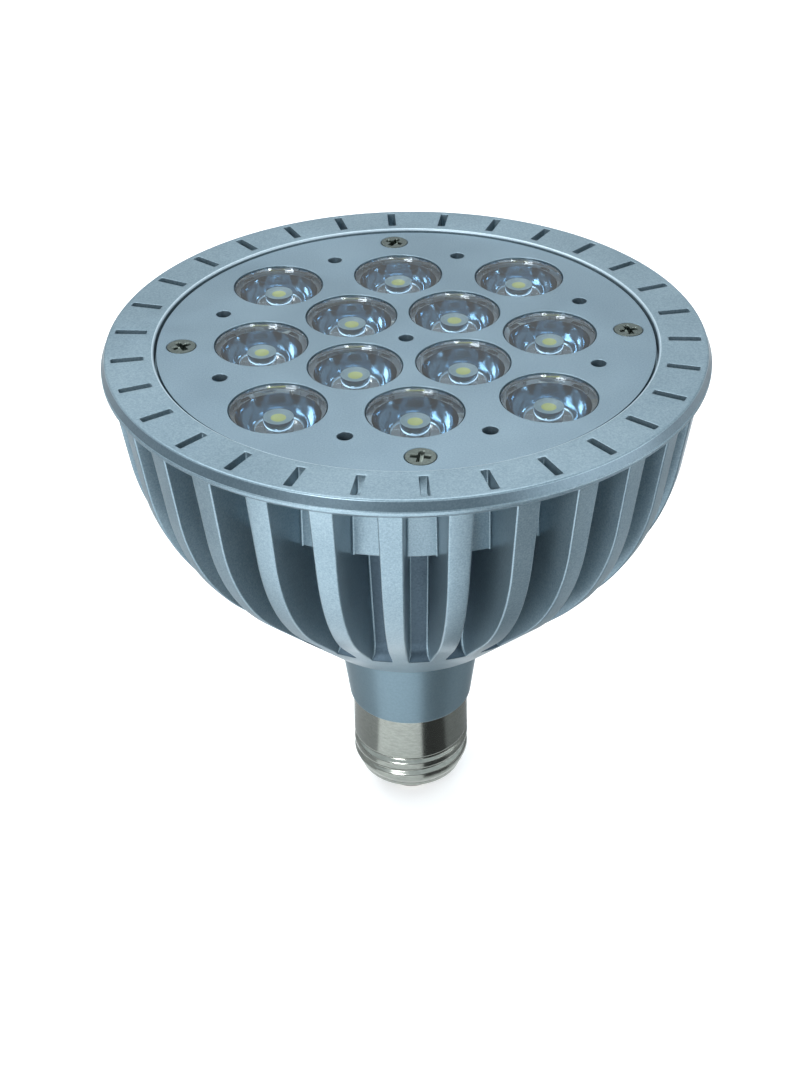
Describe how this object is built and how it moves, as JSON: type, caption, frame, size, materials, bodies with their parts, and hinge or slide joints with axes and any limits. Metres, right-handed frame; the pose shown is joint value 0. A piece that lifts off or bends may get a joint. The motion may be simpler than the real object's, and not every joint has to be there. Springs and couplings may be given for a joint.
{
  "type": "led reflector bulb",
  "caption": "Reflector-shaped LED bulb: slotted and finned cast heat sink, flat face plate over clear lenses, smooth silver neck and a screw cap.",
  "frame": {"origin": "tip of the cap's centre contact, on the lamp's axis", "axes": "+Z runs from the cap to the lens face, -Y faces the viewer of the picture, +X is to the right"},
  "size_m": [0.122, 0.122, 0.1185],
  "materials": {
    "cast_aluminium": "fine-grained silver coating on a die casting",
    "plate_aluminium": "fine-grained silver coating on sheet",
    "plated_steel": "bright plated",
    "board_white": "white mask on a metal-core board",
    "pad_grey": "matt",
    "silver_neck": "smooth silver coating",
    "nickel_plate": "bright nickel plating",
    "insulator_black": "smooth",
    "contact_metal": "bright",
    "sleeve_white": "matt",
    "board_green": "satin mask",
    "ferrite": "matt",
    "capacitor_skin": "shrunk sleeve",
    "moulding_black": "matt",
    "resistor_skin": "matt lacquer",
    "lead_red": "satin",
    "lead_black": "satin",
    "lens_clear": "clear, polished",
    "led_yellow": "phosphor face on a white body"
  },
  "bodies": {
    "root": {"heat_sink": "cast_aluminium", "face_plate": "plate_aluminium", "face_plate_screws": "plated_steel", "led_board": "board_white", "led_board_screws": "plated_steel", "thermal_pad": "pad_grey", "neck": "silver_neck", "neck_screws": "plated_steel", "screw_shell": "nickel_plate", "cap_insulator": "insulator_black", "centre_contact": "contact_metal", "insulating_sleeve": "sleeve_white", "driver_board": "board_green", "transformer": "ferrite", "input_capacitor": "capacitor_skin", "output_capacitor": "capacitor_skin", "choke": "ferrite", "bridge_rectifier": "moulding_black", "fuse_resistor": "resistor_skin", "live_lead": "lead_red", "neutral_lead": "lead_black", "positive_lead": "lead_red", "negative_lead": "lead_black", "lens_01": "lens_clear", "lens_02": "lens_clear", "lens_03": "lens_clear", "lens_04": "lens_clear", "lens_05": "lens_clear", "lens_06": "lens_clear", "lens_07": "lens_clear", "lens_08": "lens_clear", "lens_09": "lens_clear", "lens_10": "lens_clear", "lens_11": "lens_clear", "lens_12": "lens_clear", "led_01": "led_yellow", "led_02": "led_yellow", "led_03": "led_yellow", "led_04": "led_yellow", "led_05": "led_yellow", "led_06": "led_yellow", "led_07": "led_yellow", "led_08": "led_yellow", "led_09": "led_yellow", "led_10": "led_yellow", "led_11": "led_yellow", "led_12": "led_yellow"}
  },
  "joints": []
}
